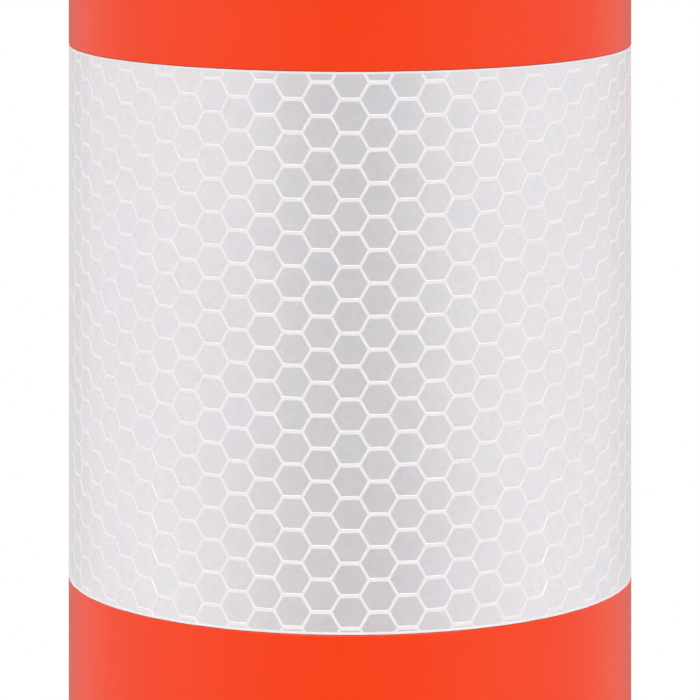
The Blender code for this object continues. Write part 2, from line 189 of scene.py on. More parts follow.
# Studio light: radiance by direction. Azimuth is 0 on the camera's side and 180 behind
# the marker. A pair of degrees is where a change starts and ends.
LIGHT_FRONT = 0.03
LIGHT_SIDE = 0.78
LIGHT_BACK = 0.30
LIGHT_FRONT_BOX = 3.22
LIGHT_BACK_BOX = 1.9
FRONT_TO_SIDE = (6, 80)
SIDE_TO_BACK = (116, 166)
BOX_FOOT_ELEVATION = (20, 36)
BOX_TOP_ELEVATION = (77, 90)
FRONT_BOX_END = (38, 58)
BACK_BOX_START = (115, 135)
GLINT_AZIMUTH = math.radians(37)
GLINT_RISE = math.radians(11)
GLINT_REACH = 1.3
GLINT_WIDTH = 0.10
GLINT_HEIGHT = 0.12
GLINT_RADIANCE = 18.0
FLOOR_R = 9.0
FLOOR_FADE = (0.4, 1.5)

# Camera, from the fit of the view to the upper band
VIEW_LENS_MM = 235.3
VIEW_SENSOR_MM = 36.0
VIEW_PITCH_DEG = 9.51
VIEW_DISTANCE_IN_RADII = 16.25
VIEW_RISE_IN_RADII = 1.612


def tube_r(z):
    """The tube's outer radius at a height; it widens evenly towards the ground."""
    return first_high.x + TAPER * (first_low.z - z)


# Node trees


class Nodes:
    """Builds a node tree with short calls."""

    def __init__(self, tree):
        self.tree = tree

    def add(self, kind, **settings):
        node = self.tree.nodes.new(kind)
        for key, value in settings.items():
            setattr(node, key, value)
        return node

    def link(self, source, target):
        self.tree.links.new(source, target)

    def position(self, stretch=(1.0, 1.0, 1.0), offset=(0.0, 0.0, 0.0)):
        """The point on the piece itself, in metres, with an optional stretch and offset."""
        coordinate = self.add("ShaderNodeTexCoord")
        mapping = self.add("ShaderNodeMapping")
        mapping.inputs["Scale"].default_value = stretch
        mapping.inputs["Location"].default_value = offset
        self.link(coordinate.outputs["Object"], mapping.inputs["Vector"])
        return mapping.outputs["Vector"]

    def noise(self, vector, size, detail=3.0, roughness=0.5):
        """Noise whose features are about size metres across."""
        node = self.add("ShaderNodeTexNoise")
        node.inputs["Scale"].default_value = 1.0 / size
        node.inputs["Detail"].default_value = detail
        node.inputs["Roughness"].default_value = roughness
        self.link(vector, node.inputs["Vector"])
        return node.outputs["Fac"]

    def cells(self, vector, size, output="Color"):
        """A random value for each cell of about size metres, or the distance to its middle."""
        node = self.add("ShaderNodeTexVoronoi")
        node.inputs["Scale"].default_value = 1.0 / size
        self.link(vector, node.inputs["Vector"])
        return node.outputs[output]

    def span(self, value, low, high, new_low, new_high, smooth=False):
        """Maps a range of values to another, clamped."""
        node = self.add("ShaderNodeMapRange")
        node.interpolation_type = "SMOOTHSTEP" if smooth else "LINEAR"
        self.link(value, node.inputs["Value"])
        node.inputs["From Min"].default_value = low
        node.inputs["From Max"].default_value = high
        node.inputs["To Min"].default_value = new_low
        node.inputs["To Max"].default_value = new_high
        return node.outputs["Result"]

    def math(self, operation, first, second):
        node = self.add("ShaderNodeMath", operation=operation)
        for socket, value in zip(node.inputs, (first, second)):
            if isinstance(value, (int, float)):
                socket.default_value = value
            else:
                self.link(value, socket)
        return node.outputs["Value"]

    def mix(self, factor, first, second):
        """Colour mix; each colour is a tuple or a socket. Sockets 6, 7 and out 2 are its colours."""
        node = self.add("ShaderNodeMix", data_type="RGBA")
        self.link(factor, node.inputs["Factor"])
        for socket, value in zip(node.inputs[6:8], (first, second)):
            if isinstance(value, tuple):
                socket.default_value = (*value, 1.0)
            else:
                self.link(value, socket)
        return node.outputs[2]

    def attribute(self, name):
        node = self.add("ShaderNodeAttribute", attribute_name=name)
        return node.outputs["Fac"]


class Surface(Nodes):
    """A material's node tree, with its shader's main sockets at hand."""

    def __init__(self, name):
        self.material = bpy.data.materials.new(name)
        self.material.use_nodes = True
        super().__init__(self.material.node_tree)
        self.shader = self.tree.nodes["Principled BSDF"]
        self.output = self.tree.nodes["Material Output"]

    def set(self, **values):
        """Fixed values on the shader's own sockets, by name with _ for space."""
        for key, value in values.items():
            socket = self.shader.inputs[key.replace("_", " ")]
            socket.default_value = (*value, 1.0) if isinstance(value, tuple) else value

    def colour(self, socket):
        self.link(socket, self.shader.inputs["Base Color"])

    def roughness(self, socket):
        self.link(socket, self.shader.inputs["Roughness"])

    def metallic(self, socket):
        self.link(socket, self.shader.inputs["Metallic"])

    def bump(self, height, depth):
        """Bump of a 0 to 1 height over a depth in metres."""
        node = self.add("ShaderNodeBump")
        node.inputs["Strength"].default_value = 1.0
        node.inputs["Distance"].default_value = depth
        self.link(height, node.inputs["Height"])
        self.link(node.outputs["Normal"], self.shader.inputs["Normal"])


def orange_plastic():
    """Glossy moulded polyethylene, a little uneven, with faint handling scratches."""
    m = Surface("orange_plastic")
    m.set(Specular_IOR_Level=0.33, IOR=1.45)
    place = m.position()
    clouds = m.noise(place, 60 * MM)
    tone = m.mix(m.span(clouds, 0.35, 0.65, 0, 1), (0.965, 0.0575, 0.0125), (0.985, 0.0615, 0.0145))
    scratches = m.noise(m.position((1.0, 1.0, 0.04)), 0.35 * MM, 2.0)
    scuffs = m.math("MULTIPLY", m.span(scratches, 0.62, 0.75, 0, 1), m.span(clouds, 0.5, 0.7, 0, 1))
    m.colour(m.mix(m.math("MULTIPLY", scuffs, 0.12), tone, (0.95, 0.16, 0.08)))
    smooth = m.span(m.noise(place, 9 * MM), 0.3, 0.7, 0.16, 0.24)
    m.roughness(m.math("ADD", smooth, m.math("MULTIPLY", scuffs, 0.2)))
    m.bump(m.noise(place, 2.2 * MM, 1.0), 0.012 * MM)
    return m.material


def sheeting_cell():
    """Prismatic film in one sealed cell: part matt, part mirror, brushed, faintly tinted."""
    m = Surface("sheeting_cell")
    m.set(Specular_IOR_Level=0.0)
    place = m.position()
    tone = m.attribute("cell_tone")
    tint = m.attribute("cell_tint")
    grey = m.mix(tone, (0.946, 0.917, 0.907), (0.976, 0.933, 0.946))
    pearl = m.mix(tint, (0.968, 0.892, 0.940), (0.922, 0.908, 0.968))
    base = m.mix(m.span(tint, 0.0, 1.0, 0.15, 0.55), grey, pearl)
    blush = m.span(m.noise(m.position(offset=BLUSH_OFFSET), 30 * MM, 2.0), 0.42, 0.62, 0.0, 0.9)
    base = m.mix(blush, base, (0.968, 0.876, 0.916))
    cool = m.span(m.noise(m.position(offset=COOL_OFFSET), 13 * MM, 2.0), 0.45, 0.65, 0.0, 0.6)
    base = m.mix(cool, base, (0.930, 0.903, 0.982))
    mottle = m.span(m.noise(place, 1.1 * MM, 4.0, 0.65), 0.35, 0.70, 0.0, 0.45)
    base = m.mix(mottle, base, (0.83, 0.80, 0.81))
    streaks = m.noise(m.position((0.25, 0.25, 1.0)), 0.22 * MM, 2.0)
    m.colour(m.mix(m.span(streaks, 0.3, 0.75, 0.0, 0.28), base, (0.78, 0.76, 0.77)))
    m.metallic(m.span(tone, 0, 1, 0.37, 0.41))
    m.roughness(m.span(streaks, 0.3, 0.7, 0.32, 0.40))
    m.bump(m.noise(place, 0.5 * MM, 2.0), 0.006 * MM)
    return m.material


def sheeting_wall():
    """White sealed tops of the walls, and the film's edges and back."""
    m = Surface("sheeting_wall")
    m.set(Specular_IOR_Level=0.05)
    place = m.position()
    m.colour(m.mix(m.noise(place, 3 * MM), (0.882, 0.846, 0.864), (0.912, 0.878, 0.894)))
    m.roughness(m.span(m.noise(place, 0.8 * MM), 0.3, 0.7, 0.38, 0.55))
    m.bump(m.noise(place, 0.4 * MM, 2.0), 0.006 * MM)
    return m.material


def sheeting_slope():
    """Clear film that runs down a wall's side, glossy enough to glint."""
    m = Surface("sheeting_slope")
    m.set(Specular_IOR_Level=0.6)
    place = m.position()
    m.colour(m.mix(m.noise(place, 1.5 * MM), (0.90, 0.868, 0.885), (0.95, 0.918, 0.935)))
    m.roughness(m.span(m.noise(place, 0.6 * MM), 0.3, 0.7, 0.10, 0.26))
    return m.material


def base_rubber():
    """Pressed rubber crumb, matt, with paler crumbs and settled dust."""
    m = Surface("base_rubber")
    m.set(Specular_IOR_Level=0.35)
    place = m.position()
    crumb = m.cells(place, 1.7 * MM)
    grain = m.noise(place, 0.7 * MM, 4.0)
    dark = m.mix(m.span(grain, 0.3, 0.7, 0, 1), (0.016, 0.016, 0.017), (0.040, 0.040, 0.042))
    pale = m.span(crumb, 0.86, 0.9, 0, 0.5)
    speckled = m.mix(pale, dark, (0.11, 0.11, 0.115))
    dust = m.span(m.noise(place, 35 * MM, 5.0, 0.6), 0.48, 0.75, 0, 0.35)
    m.colour(m.mix(dust, speckled, (0.16, 0.152, 0.142)))
    m.roughness(m.span(grain, 0.2, 0.8, 0.68, 0.92))
    m.bump(m.math("ADD", m.cells(place, 1.7 * MM, "Distance"), grain), 0.16 * MM)
    return m.material


def galvanised_steel():
    """Hot-dip zinc with its crystal spangle, dulled in patches."""
    m = Surface("galvanised_steel")
    place = m.position()
    spangle = m.cells(place, 7 * MM)
    fine = m.noise(place, 1.4 * MM, 4.0)
    patches = m.noise(place, 28 * MM, 4.0)
    grey = m.mix(spangle, (0.53, 0.55, 0.57), (0.68, 0.70, 0.72))
    dull = m.span(patches, 0.50, 0.68, 0, 0.6)
    m.colour(m.mix(dull, grey, (0.56, 0.565, 0.57)))
    m.metallic(m.span(dull, 0, 0.6, 1.0, 0.72))
    bright = m.span(spangle, 0, 1, 0.30, 0.48)
    m.roughness(m.math("ADD", bright, m.span(fine, 0.3, 0.7, -0.04, 0.14)))
    m.bump(m.math("ADD", fine, m.cells(place, 7 * MM, "Distance")), 0.035 * MM)
    return m.material


def zinc_plated_steel():
    """Bright plate on screws and bolts, with a faint blue and straw cast."""
    m = Surface("zinc_plated_steel")
    m.set(Metallic=1.0)
    place = m.position()
    cast = m.noise(place, 5 * MM, 2.0)
    tint = m.mix(m.span(cast, 0.35, 0.65, 0, 1), (0.66, 0.67, 0.72), (0.74, 0.72, 0.66))
    grime = m.span(m.noise(place, 2.5 * MM, 4.0), 0.55, 0.72, 0, 0.5)
    m.colour(m.mix(grime, tint, (0.36, 0.35, 0.34)))
    fine = m.noise(m.position((1.0, 1.0, 6.0)), 0.5 * MM, 3.0)
    m.roughness(m.math("ADD", m.span(fine, 0.3, 0.7, 0.20, 0.32), m.math("MULTIPLY", grime, 0.4)))
    m.bump(fine, 0.008 * MM)
    return m.material


def spring_coat():
    """Black powder coat with its pebbled skin, rubbed to steel in spots."""
    m = Surface("spring_coat")
    place = m.position()
    pebble = m.noise(place, 0.55 * MM, 2.0)
    chips = m.span(m.noise(place, 3.2 * MM, 5.0, 0.62), 0.685, 0.71, 0, 1)
    clouds = m.span(m.noise(place, 18 * MM), 0.3, 0.7, 0, 1)
    coat = m.mix(clouds, (0.014, 0.014, 0.016), (0.030, 0.030, 0.033))
    m.colour(m.mix(chips, coat, (0.36, 0.33, 0.31)))
    m.metallic(chips)
    m.roughness(m.span(pebble, 0.3, 0.7, 0.30, 0.46))
    m.bump(m.math("SUBTRACT", pebble, m.math("MULTIPLY", chips, 0.8)), 0.03 * MM)
    return m.material


MATERIALS = {
    "orange_plastic": orange_plastic(),
    "sheeting_cell": sheeting_cell(),
    "sheeting_wall": sheeting_wall(),
    "sheeting_slope": sheeting_slope(),
    "base_rubber": base_rubber(),
    "galvanised_steel": galvanised_steel(),
    "zinc_plated_steel": zinc_plated_steel(),
    "spring_steel": spring_coat(),
}


# Mesh work


def add_object(name, data, *materials):
    """A new object in the scene; a mesh gets its materials in slot order."""
    obj = bpy.data.objects.new(name, data)
    bpy.context.scene.collection.objects.link(obj)
    for material in materials:
        data.materials.append(material)
    return obj


def settle_piece(obj, *nodes):
    """The piece stands for its nodes and moves with their body."""
    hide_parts(*nodes)
    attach(obj, body_of_node[nodes[0]])


def apply_modifiers(obj):
    """Replaces the object's mesh with what its modifiers make of it."""
    bpy.context.view_layer.update()
    view = bpy.context.evaluated_depsgraph_get()
    mesh = bpy.data.meshes.new_from_object(obj.evaluated_get(view), depsgraph=view)
    obj.modifiers.clear()
    obj.data = mesh


def shade(obj, degrees=32.0):
    """Smooth shading, in which large faces stay flat beside their small fillets."""
    obj.data.shade_smooth()
    obj.data.set_sharp_from_angle(angle=math.radians(degrees))
    weighted = obj.modifiers.new("weighted", "WEIGHTED_NORMAL")
    weighted.keep_sharp = True
    apply_modifiers(obj)


def round_corner(before, corner, after, radius, steps):
    """Points of an arc that takes the place of one corner of an outline."""
    a, p, b = Vector(before), Vector(corner), Vector(after)
    to_a, to_b = (a - p).normalized(), (b - p).normalized()
    half = to_a.angle(to_b, 0.0) / 2
    slight = 0.02
    if radius <= 0 or half < slight or abs(half - math.pi / 2) < slight:
        return [tuple(p)]
    reach = min(radius / math.tan(half), 0.49 * (a - p).length, 0.49 * (b - p).length)
    centre = p + (to_a + to_b).normalized() * reach / math.cos(half)
    first, last = p + to_a * reach - centre, p + to_b * reach - centre
    swing = first.angle(last, 0.0)
    turn = math.copysign(swing, first.x * last.y - first.y * last.x)
    points = []
    for i in range(steps + 1):
        angle = turn * i / steps
        c, s = math.cos(angle), math.sin(angle)
        points.append((centre.x + first.x * c - first.y * s, centre.y + first.x * s + first.y * c))
    return points


def rounded(outline, closed=True, steps=5):
    """An outline of (radius, height, corner radius) with its corners rounded."""
    points = []
    count = len(outline)
    for i, (x, z, corner) in enumerate(outline):
        if not closed and i in (0, count - 1):
            points.append((x, z))
            continue
        before, after = outline[i - 1][:2], outline[(i + 1) % count][:2]
        points += round_corner(before, (x, z), after, corner, steps)
    return points


def lathe(name, outline, segments, closed=True):
    """Turns (radius, height) points about Z. The outline runs down its outer side."""
    verts, rings, faces = [], [], []
    for radius, z in outline:
        start = len(verts)
        if radius < 1e-7:
            verts.append((0.0, 0.0, z))
            rings.append([start] * segments)
            continue
        for s in range(segments):
            angle = 2 * math.pi * s / segments
            verts.append((radius * math.cos(angle), radius * math.sin(angle), z))
        rings.append(list(range(start, start + segments)))
    lines = list(zip(rings, rings[1:]))
    if closed:
        lines.append((rings[-1], rings[0]))
    for upper, lower in lines:
        for s in range(segments):
            t = (s + 1) % segments
            corners = dict.fromkeys((upper[s], lower[s], lower[t], upper[t]))
            if len(corners) > 2:
                faces.append(tuple(corners))
    mesh = bpy.data.meshes.new(name)
    mesh.from_pydata(verts, [], faces)
    return mesh


def prism(name, sides, radius, low, high, turn=0.0):
    """An upright prism between two heights."""
    form = bmesh.new()
    place = Matrix.Translation((0, 0, (low + high) / 2)) @ Matrix.Rotation(turn, 4, "Z")
    bmesh.ops.create_cone(
        form, cap_ends=True, segments=sides, radius1=radius, radius2=radius,
        depth=high - low, matrix=place,
    )
    mesh = bpy.data.meshes.new(name)
    form.to_mesh(mesh)
    form.free()
    return mesh


def join_copies(name, mesh, places):
    """One mesh that holds a copy at each place."""
    form = bmesh.new()
    for place in places:
        copy = mesh.copy()
        copy.transform(place)
        form.from_mesh(copy)
        bpy.data.meshes.remove(copy)
    joined = bpy.data.meshes.new(name)
    form.to_mesh(joined)
    form.free()
    return joined


def combine(obj, mesh, operation="DIFFERENCE"):
    """A Boolean with a mesh, applied, with the mesh's own object removed."""
    tool = add_object("tool", mesh)
    boolean = obj.modifiers.new(operation, "BOOLEAN")
    boolean.operation = operation
    boolean.solver = "EXACT"
    boolean.object = tool
    apply_modifiers(obj)
    bpy.data.objects.remove(tool)


def carved(mesh, tool, operation="DIFFERENCE"):
    """A mesh after a Boolean with another."""
    body = add_object("body", mesh)
    combine(body, tool, operation)
    mesh = body.data
    bpy.data.objects.remove(body)
    return mesh


def node_middle(node):
    """The middle of a node's box."""
    low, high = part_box(node)
    return (low + high) / 2


def node_angle(node):
    """The polar angle at which a node's middle lies."""
    middle = node_middle(node)
    return math.atan2(middle.y, middle.x)


def node_radius(node):
    """How far from the axis a node's middle lies."""
    return node_middle(node).to_2d().length


def node_ends(node):
    """How near to the axis and how far from it a node reaches."""
    angle = node_angle(node)
    along = Vector((math.cos(angle), math.sin(angle), 0.0))
    reach = [v.co.dot(along) for v in frame["nodes"][node].data.vertices]
    return min(reach), max(reach)


def numbered(stem):
    """The nodes of a stem with _1, _2 and so on after it."""
    return sorted(n for n in frame["nodes"] if n.rsplit("_", 1)[0] == stem)


def foot_place(node):
    """The place on the ground under a node's middle, turned with it about the axis."""
    turn = Matrix.Rotation(node_angle(node), 4, "Z")
    return turn @ Matrix.Translation((node_radius(node), 0.0, 0.0))


def side_place(node, radius):
    """The place at a node's angle and height whose own Z points away from the axis."""
    turn = Matrix.Rotation(node_angle(node), 4, "Z")
    shift = Matrix.Translation((radius, 0.0, node_middle(node).z))
    return turn @ shift @ Matrix.Rotation(math.pi / 2, 4, "Y")


def drill_radially(obj, nodes, radius, sides=32, reach=9 * MM):
    """Drills a hole towards the axis at each node."""
    tool = prism("drill", sides, radius, -reach, reach)
    places = [side_place(n, node_radius(n)) for n in nodes]
    combine(obj, join_copies("drills", tool, places))


def make_radial_screws(stem, make_mesh, suffix, degrees, seed):
    """One screw per node of a stem, each turned its own way about its axis."""
    dice = random.Random(seed)
    nodes = numbered(stem)
    start, end = node_ends(nodes[0])
    mesh = make_mesh(end - start)
    for node in nodes:
        copy = mesh.copy()
        free_turn = Matrix.Rotation(dice.uniform(0, math.pi), 4, "Z")
        copy.transform(side_place(node, node_ends(node)[0]) @ free_turn)
        screw = add_object(node + suffix, copy, MATERIALS["zinc_plated_steel"])
        shade(screw, degrees)
        settle_piece(screw, node)


# Honeycomb bands


def hexagon(cx, cy, level, slanted):
    """Corners of a hexagon, given the spans between its level and its slanted sides."""
    side = slanted / math.sqrt(3)
    top = (2 * slanted - level) / (2 * math.sqrt(3))
    half = level / 2
    offsets = ((side, 0), (top, half), (-top, half), (-side, 0), (-top, -half), (top, -half))
    return [(cx + x, cy + y) for x, y in offsets]


def cell_centres(half_width, height, first_drop, shift):
    """Centres of the cells over a flat strip, as (across, down) pairs."""
    column_step = CELL_ACROSS * math.sqrt(3) / 2
    columns = int(half_width / column_step) + 2
    rows = int(height / CELL_ACROSS) + 4
    for column in range(-columns, columns + 1):
        lift = CELL_ACROSS / 2 if column % 2 else 0.0
        for row in range(-2, rows):
            yield column * column_step + shift, first_drop - lift + row * CELL_ACROSS


def flat_film(half_width, height, first_drop, shift, dice):
    """The film laid flat: X across, Y up, Z out. Wall tops, cells and slopes differ in finish."""
    form = bmesh.new()
    tone = form.faces.layers.float.new("cell_tone")
    tint = form.faces.layers.float.new("cell_tint")
    wall_middle = (0, 0.0, 0.0)
    wall_edge = (1, 0.0, 0.0)
    cell_floor = (1, 2 * CELL_BEVEL, CELL_DEPTH)
    for cx, drop in cell_centres(half_width, height, first_drop, shift):
        rings = []
        for has_wall, bevel, depth in (wall_middle, wall_edge, cell_floor):
            level = CELL_ACROSS - has_wall * LEVEL_WALL - bevel
            slanted = CELL_ACROSS - has_wall * SLANTED_WALL - bevel
            corners = hexagon(cx, -drop, level, slanted)
            rings.append([form.verts.new((x, y, -depth)) for x, y in corners])
        for finish, outer, inner in ((WALL, *rings[:2]), (SLOPE, *rings[1:])):
            for i in range(6):
                j = (i + 1) % 6
                face = form.faces.new((outer[i], outer[j], inner[j], inner[i]))
                face.material_index = finish
        floor = form.faces.new(rings[2])
        floor.material_index = CELL
        floor[tone] = dice.random()
        floor[tint] = dice.random()
    bmesh.ops.remove_doubles(form, verts=form.verts, dist=2 * NEAR)
    return form


def trim_film(form, half_width, height):
    """Cuts the flat film to its rectangle, inside its sealed edge."""
    cuts = (
        ((half_width, 0, 0), (1, 0, 0)),
        ((-half_width, 0, 0), (-1, 0, 0)),
        ((0, -FILM_EDGE, 0), (0, 1, 0)),
        ((0, FILM_EDGE - height, 0), (0, -1, 0)),
    )
    for point, normal in cuts:
        geometry = form.verts[:] + form.edges[:] + form.faces[:]
        bmesh.ops.bisect_plane(form, geom=geometry, plane_co=point, plane_no=normal, clear_outer=True)


def border_film(form, half_width, height):
    """Adds the sealed edge, the cut edge and the back. A step is its reach and its level."""
    steps = ((0.08 * MM, 0.0), (FILM_EDGE - 0.03 * MM, 0.0), (FILM_EDGE, -0.04 * MM), (FILM_EDGE, -FILM_T))
    done = 0.0
    for reach, level in steps:
        rim = [e for e in form.edges if len(e.link_faces) == 1]
        made = bmesh.ops.extrude_edge_only(form, edges=rim)["geom"]
        for face in (g for g in made if isinstance(g, bmesh.types.BMFace)):
            face.material_index = WALL
        move = reach - done
        edge_x, top, foot = half_width + done, -FILM_EDGE + done, FILM_EDGE - height - done
        for vert in (g for g in made if isinstance(g, bmesh.types.BMVert)):
            if abs(abs(vert.co.x) - edge_x) < NEAR:
                vert.co.x += math.copysign(move, vert.co.x)
            if abs(vert.co.y - top) < NEAR:
                vert.co.y += move
            elif abs(vert.co.y - foot) < NEAR:
                vert.co.y -= move
            vert.co.z = level
        done = reach
    rim = [e for e in form.edges if len(e.link_faces) == 1]
    bmesh.ops.triangle_fill(form, use_beauty=True, use_dissolve=False, edges=rim)
    bmesh.ops.recalc_face_normals(form, faces=form.faces[:])


def overlap_lift(x, half_width):
    """How far the film's far end rises over its near end at the back."""
    start = half_width - FILM_OVERLAP - OVERLAP_RAMP
    share = min(max((x - start) / OVERLAP_RAMP, 0.0), 1.0)
    return OVERLAP_RISE * share * share * (3 - 2 * share)


def wrap_film(mesh, top_z, foot_z, half_width):
    """Wraps the flat film round the tube, with its middle at -Y and its ends lapped at +Y."""
    middle_r = tube_r((top_z + foot_z) / 2)
    flat_normals = [tuple(p.normal) for p in mesh.polygons]
    level = {v for p, n in zip(mesh.polygons, flat_normals) if n[2] > 0.99 for v in p.vertices}
    outward = {}
    for vert in mesh.vertices:
        x, y, out = vert.co
        z = top_z + y
        angle = x / middle_r
        radius = tube_r(z) + out + overlap_lift(x, half_width)
        vert.co = (radius * math.sin(angle), -radius * math.cos(angle), z)
        if vert.index in level:
            outward[vert.index] = Vector((math.sin(angle), -math.cos(angle), TAPER)).normalized()
    mesh.update()
    mesh.shade_smooth()
    normals = []
    for polygon, flat in zip(mesh.polygons, flat_normals):
        for vertex in polygon.vertices:
            normals.append(outward[vertex] if flat[2] > 0.99 else polygon.normal)
    mesh.normals_split_custom_set(normals)


def make_band(node, order):
    """One band of film; the first is cut as the view shows it, the others anywhere."""
    low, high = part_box(node)
    height = high.z - low.z
    dice = random.Random(order + BAND_SEED)
    middle_r = tube_r((low.z + high.z) / 2)
    half_width = math.pi * middle_r + FILM_OVERLAP / 2
    shift = 0.0 if order == 0 else dice.uniform(-0.5, 0.5) * CELL_ACROSS
    drop = FIRST_CELL_DROP if order == 0 else dice.uniform(1.0, 2.0) * CELL_ACROSS
    form = flat_film(half_width, height, drop, shift, dice)
    inner_width = half_width - FILM_EDGE
    trim_film(form, inner_width, height)
    border_film(form, inner_width, height)
    mesh = bpy.data.meshes.new(node + "_film")
    form.to_mesh(mesh)
    form.free()
    wrap_film(mesh, high.z, low.z, half_width)
    film = add_object(node + "_film", mesh, *(MATERIALS["sheeting_" + f] for f in FINISHES))
    settle_piece(film, node)


# Tube, cap and their screws


def make_tube():
    """The tube with softened lips and a recess behind each band."""
    top, foot = tube_high.z, tube_low.z
    outline = [(tube_r(top), top, LIP_R)]
    for node in BANDS:
        low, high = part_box(node)
        for z, inner_first in ((high.z + RECESS_GAP, False), (low.z - RECESS_GAP, True)):
            recess_r = tube_r(z) - FILM_T - RECESS_CLEAR
            pair = [(tube_r(z), z, RECESS_CORNER), (recess_r, z, RECESS_CORNER)]
            outline += reversed(pair) if inner_first else pair
    outline.append((tube_r(foot), foot, LIP_R))
    outline.append((tube_r(foot) - TUBE_WALL, foot, LIP_R))
    outline.append((tube_r(top) - TUBE_WALL, top, LIP_R))
    mesh = lathe("marker_tube_shell", rounded(outline), POST_SEGMENTS)
    tube = add_object("marker_tube_shell", mesh, MATERIALS["orange_plastic"])
    drill_radially(tube, numbered("tube_screw") + numbered("cap_screw"), TUBE_HOLE_R, 24, 8 * MM)
    shade(tube)
    settle_piece(tube, "marker_tube")


def dip(r, middle, half_width, depth):
    """The depth at a radius of a soft ring groove."""
    return depth * math.exp(-((r - middle) / half_width) ** 2)


def make_cap():
    """A domed cap with a rolled rim, a shallow ring groove and a moulding mark."""
    rim_r = cap_high.x
    rim_z = tube_high.z + CAP_RIM_GAP
    shoulder = rim_z + CAP_RIM_H
    rise = cap_high.z - shoulder
    skirt_r = tube_r(tube_high.z) - TUBE_WALL - PLUG_FIT
    outline = []
    for i in range(CAP_STEPS + 1):
        angle = i / CAP_STEPS * math.pi / 2
        r, z = rim_r * math.sin(angle), shoulder + rise * math.cos(angle)
        outline.append((r, z - dip(r, *CAP_GROOVE) - dip(r, *CAP_MARK), 0.0))
    outline += [
        (rim_r, rim_z, 1.2 * MM),
        (skirt_r, rim_z, 0.4 * MM),
        (skirt_r - 0.2 * MM, cap_low.z, 1.0 * MM),
        (skirt_r - CAP_WALL, cap_low.z, 0.5 * MM),
        (skirt_r - CAP_WALL, shoulder, 3.0 * MM),
        (skirt_r * 0.6, cap_high.z - rise * 0.25 - CAP_WALL, 6.0 * MM),
        (0.0, cap_high.z - CAP_WALL, 0.0),
    ]
    mesh = lathe("top_cap_dome", rounded(outline, closed=False), POST_SEGMENTS, closed=False)
    cap = add_object("top_cap_dome", mesh, MATERIALS["orange_plastic"])
    shade(cap, 40)
    settle_piece(cap, "top_cap")


def thread_outline(radius, high, low):
    """The zigzag of a thread's profile, from high to low."""
    count = int((high - low) / M8_THREAD)
    points = []
    for i in range(count):
        z = high - i * M8_THREAD
        points.append((radius, z))
        points.append((radius - M8_THREAD_DEPTH, z - M8_THREAD / 2))
    return points


def pan_screw_mesh(length):
    """A pan-head screw along +Z, with its head's top at length and a cross recess."""
    under = length - PAN_HEAD_H
    outline = [
        (0.0, length, 0.0),
        (PAN_HEAD_R * 0.62, length, 2.5 * MM),
        (PAN_HEAD_R, under + PAN_HEAD_H * 0.55, 1.6 * MM),
        (PAN_HEAD_R, under, 0.25 * MM),
        (PAN_SHANK_R, under, 0.1 * MM),
        (PAN_SHANK_R, 2.5 * MM, 0.2 * MM),
        (0.4 * MM, 0.0, 0.2 * MM),
        (0.0, 0.0, 0.0),
    ]
    mesh = lathe("pan_screw", rounded(outline, closed=False), 48, closed=False)
    for turn in (0.0, math.pi / 2):
        form = bmesh.new()
        bmesh.ops.create_cube(form, size=1.0)
        for vert in form.verts:
            above = vert.co.z > 0
            share = 1.0 if above else CROSS_TAPER
            vert.co.x *= CROSS_LENGTH * share
            vert.co.y *= CROSS_WIDTH * share
            vert.co.z = length + (0.5 * MM if above else -CROSS_DEPTH)
        blade = bpy.data.meshes.new("blade")
        form.to_mesh(blade)
        form.free()
        blade.transform(Matrix.Rotation(turn, 4, "Z"))
        mesh = carved(mesh, blade)
    return mesh


# Spring and sockets


def wire_line():
    """Ring centres along the wire, with the turn that each is at."""
    total = 2 * DEAD_TURNS + ACTIVE_TURNS
    rings = []
    for i in range(int(total * RINGS_PER_TURN) + 1):
        turn = i / RINGS_PER_TURN
        dead = min(turn, DEAD_TURNS) + max(turn - DEAD_TURNS - ACTIVE_TURNS, 0.0)
        active = min(max(turn - DEAD_TURNS, 0.0), ACTIVE_TURNS)
        z = coil_foot + WIRE_R + dead * DEAD_PITCH + active * ACTIVE_PITCH
        angle = 2 * math.pi * turn
        rings.append(Vector((COIL_R * math.cos(angle), COIL_R * math.sin(angle), z)))
    return rings


def wire_mesh(name, line, before, after):
    """A round wire along a line; before and after are the points next to its ends."""
    verts, faces = [], []
    spine = [before] + line + [after]
    for i, centre in enumerate(line, 1):
        along = (spine[i + 1] - spine[i - 1]).normalized()
        out = Vector((centre.x, centre.y, 0.0)).normalized()
        out = (out - along * out.dot(along)).normalized()
        up = along.cross(out)
        for s in range(WIRE_SIDES):
            a = 2 * math.pi * s / WIRE_SIDES
            verts.append(centre + (out * math.cos(a) + up * math.sin(a)) * WIRE_R)
    for i in range(len(line) - 1):
        for s in range(WIRE_SIDES):
            t = (s + 1) % WIRE_SIDES
            row, after_row = i * WIRE_SIDES, (i + 1) * WIRE_SIDES
            faces.append((row + s, row + t, after_row + t, after_row + s))
    last = (len(line) - 1) * WIRE_SIDES
    faces.append(tuple(reversed(range(WIRE_SIDES))))
    faces.append(tuple(range(last, last + WIRE_SIDES)))
    mesh = bpy.data.meshes.new(name)
    mesh.from_pydata(verts, [], faces)
    return mesh


def bend_wire(obj):
    """Bakes the wire's placement into its mesh."""
    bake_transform(obj)


